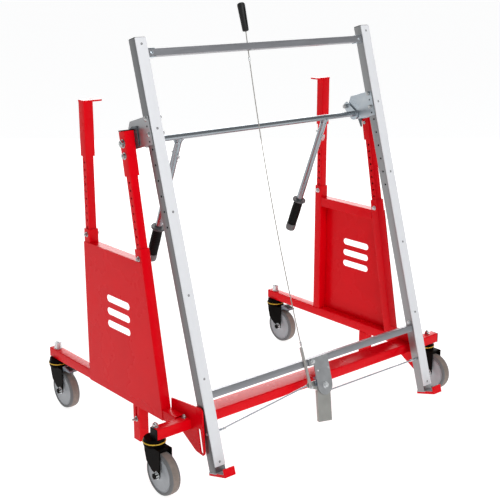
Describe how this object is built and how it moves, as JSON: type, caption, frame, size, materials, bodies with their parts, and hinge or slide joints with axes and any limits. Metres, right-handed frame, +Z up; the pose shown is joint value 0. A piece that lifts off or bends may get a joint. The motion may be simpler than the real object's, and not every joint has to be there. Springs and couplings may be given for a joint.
{
  "type": "panel handling trolley",
  "caption": "Wheeled panel trolley: a tilting ladder frame with feet on height-adjustable posts between two braced side frames, with a cable-released pin latch and swivel castors.",
  "frame": {"origin": "on the floor, at the middle of the overall width and depth", "axes": "+X along the width, -Y towards the loading side that the ladder frame faces, +Z up"},
  "size_m": [1.209, 0.89, 1.315],
  "materials": {
    "red_paint": "glossy red powder coat",
    "black_plastic": "matt moulded plastic",
    "black_steel": "satin black coating",
    "alloy": "plain extruded",
    "white_strip": "satin",
    "zinc": "zinc plated",
    "steel": "plain",
    "rubber": "matt",
    "tyre_grey": "matt grey rubber",
    "pedal_grey": "matt"
  },
  "bodies": {
    "chassis": {"front_beam": "red_paint", "beam_end_cap_left": "black_plastic", "beam_end_cap_right": "black_plastic", "base_rail_left": "red_paint", "top_rail_left": "red_paint", "rear_sleeve_left": "red_paint", "front_sleeve_left": "red_paint", "side_sheet_left": "red_paint", "catch_plate_left": "red_paint", "base_rail_right": "red_paint", "top_rail_right": "red_paint", "rear_sleeve_right": "red_paint", "front_sleeve_right": "red_paint", "side_sheet_right": "red_paint", "catch_plate_right": "red_paint"},
    "front_posts": {"front_post_left": "red_paint", "front_post_cap_left": "black_plastic", "pivot_bolt_left": "zinc", "front_post_right": "red_paint", "front_post_cap_right": "black_plastic", "pivot_bolt_right": "zinc"},
    "tilt_frame": {"top_crossbar": "alloy", "bottom_crossbar": "alloy", "cross_tube": "zinc", "stop_plate": "zinc", "latch_bracket": "zinc", "frame_rail_left": "alloy", "face_strip_left": "white_strip", "foot_left": "red_paint", "pivot_bracket_left": "zinc", "lever_left": "zinc", "lever_grip_left": "rubber", "frame_rail_right": "alloy", "face_strip_right": "white_strip", "foot_right": "red_paint", "pivot_bracket_right": "zinc", "lever_right": "zinc", "lever_grip_right": "rubber"},
    "latch_crank": {"kick_crank": "steel"},
    "pull_line": {"pull_link": "zinc", "pull_cable": "steel", "pull_grip": "rubber"},
    "rear_post_left_body": {"rear_post_left": "red_paint"},
    "support_leg_left_body": {"support_leg_left": "red_paint"},
    "pin_left": {"latch_pin_left": "zinc"},
    "rod_left": {"latch_rod_left": "zinc"},
    "castor_front_left": {"castor_fork_front_left": "black_steel"},
    "castor_front_left_wheel": {"castor_wheel_front_left": "tyre_grey"},
    "castor_rear_left": {"castor_fork_rear_left": "black_steel"},
    "castor_rear_left_wheel": {"castor_wheel_rear_left": "tyre_grey"},
    "pedal_left": {"brake_pedal_rear_left": "pedal_grey"},
    "rear_post_right_body": {"rear_post_right": "red_paint"},
    "support_leg_right_body": {"support_leg_right": "red_paint"},
    "pin_right": {"latch_pin_right": "zinc"},
    "rod_right": {"latch_rod_right": "zinc"},
    "castor_front_right": {"castor_fork_front_right": "black_steel"},
    "castor_front_right_wheel": {"castor_wheel_front_right": "tyre_grey"},
    "castor_rear_right": {"castor_fork_rear_right": "black_steel"},
    "castor_rear_right_wheel": {"castor_wheel_rear_right": "tyre_grey"},
    "pedal_right": {"brake_pedal_rear_right": "pedal_grey"}
  },
  "joints": [
    {"name": "table_height", "type": "slide", "parent": "chassis", "child": "front_posts", "axis": [0, 0.1857, 0.9826], "range_m": [-0.022, 0.088]},
    {"name": "frame_tilt", "type": "hinge", "parent": "front_posts", "child": "tilt_frame", "pos_m": [0, -0.048, 0.943], "axis": [-1, 0, 0], "range_deg": [-1.65, 63.45]},
    {"name": "latch_turn", "type": "hinge", "parent": "tilt_frame", "child": "latch_crank", "pos_m": [-0.0025, -0.3604, 0.18566], "axis": [0, -0.96, 0.2798], "range_deg": [-17, 23], "stiffness_Nm_per_rad": 6},
    {"name": "pull_slide", "type": "slide", "parent": "tilt_frame", "child": "pull_line", "axis": [0, 0.2798, 0.96], "range_m": [-0.0246, 0.0183]},
    {"name": "rear_height_left", "type": "slide", "parent": "chassis", "child": "rear_post_left_body", "axis": [0, 0, 1], "range_m": [-0.0215, 0.0845]},
    {"name": "leg_slide_left", "type": "slide", "parent": "chassis", "child": "support_leg_left_body", "axis": [0, 0, -1], "range_m": [0, 0.036]},
    {"name": "pin_slide_left", "type": "slide", "parent": "tilt_frame", "child": "pin_left", "axis": [-1, 0, 0], "range_m": [-0.007, 0.0092]},
    {"name": "rod_hinge_left", "type": "hinge", "parent": "pin_left", "child": "rod_left", "pos_m": [-0.405, -0.36286, 0.16294], "axis": [0, -0.96, 0.2798], "range_deg": [-4.2, 3.2]},
    {"name": "swivel_front_left", "type": "hinge", "parent": "chassis", "child": "castor_front_left", "pos_m": [-0.5715, -0.2704, 0.14], "axis": [0, 0, 1], "continuous": true},
    {"name": "roll_front_left", "type": "hinge", "parent": "castor_front_left", "child": "castor_front_left_wheel", "pos_m": [-0.5715, -0.3116, 0.0625], "axis": [1, 0, 0], "continuous": true},
    {"name": "swivel_rear_left", "type": "hinge", "parent": "chassis", "child": "castor_rear_left", "pos_m": [-0.482, 0.4135, 0.14], "axis": [0, 0, 1], "continuous": true},
    {"name": "roll_rear_left", "type": "hinge", "parent": "castor_rear_left", "child": "castor_rear_left_wheel", "pos_m": [-0.482, 0.3723, 0.0625], "axis": [1, 0, 0], "continuous": true},
    {"name": "brake_pedal_left", "type": "hinge", "parent": "castor_rear_left", "child": "pedal_left", "pos_m": [-0.482, 0.362, 0.14], "axis": [1, 0, 0], "range_deg": [0, 12]},
    {"name": "rear_height_right", "type": "slide", "parent": "chassis", "child": "rear_post_right_body", "axis": [0, 0, 1], "range_m": [-0.0215, 0.0845]},
    {"name": "leg_slide_right", "type": "slide", "parent": "chassis", "child": "support_leg_right_body", "axis": [0, 0, -1], "range_m": [0, 0.036]},
    {"name": "pin_slide_right", "type": "slide", "parent": "tilt_frame", "child": "pin_right", "axis": [1, 0, 0], "range_m": [-0.007, 0.0092]},
    {"name": "rod_hinge_right", "type": "hinge", "parent": "pin_right", "child": "rod_right", "pos_m": [0.405, -0.36286, 0.16294], "axis": [0, -0.96, 0.2798], "range_deg": [-1, 0.8]},
    {"name": "swivel_front_right", "type": "hinge", "parent": "chassis", "child": "castor_front_right", "pos_m": [0.5715, -0.2704, 0.14], "axis": [0, 0, 1], "continuous": true},
    {"name": "roll_front_right", "type": "hinge", "parent": "castor_front_right", "child": "castor_front_right_wheel", "pos_m": [0.5715, -0.3116, 0.0625], "axis": [1, 0, 0], "continuous": true},
    {"name": "swivel_rear_right", "type": "hinge", "parent": "chassis", "child": "castor_rear_right", "pos_m": [0.482, 0.4135, 0.14], "axis": [0, 0, 1], "continuous": true},
    {"name": "roll_rear_right", "type": "hinge", "parent": "castor_rear_right", "child": "castor_rear_right_wheel", "pos_m": [0.482, 0.3723, 0.0625], "axis": [1, 0, 0], "continuous": true},
    {"name": "brake_pedal_right", "type": "hinge", "parent": "castor_rear_right", "child": "pedal_right", "pos_m": [0.482, 0.362, 0.14], "axis": [1, 0, 0], "range_deg": [0, 12]}
  ],
  "couplings": [
    {"joint": "pull_slide", "follows": "latch_turn", "m_per_rad": -0.06},
    {"joint": "rear_height_left", "follows": "table_height", "ratio": 0.95},
    {"joint": "pin_slide_left", "follows": "latch_turn", "m_per_rad": 0.0221},
    {"joint": "rod_hinge_left", "follows": "latch_turn", "ratio": -0.169},
    {"joint": "rear_height_right", "follows": "table_height", "ratio": 0.95},
    {"joint": "pin_slide_right", "follows": "latch_turn", "m_per_rad": 0.02234},
    {"joint": "rod_hinge_right", "follows": "latch_turn", "ratio": -0.0354}
  ]
}
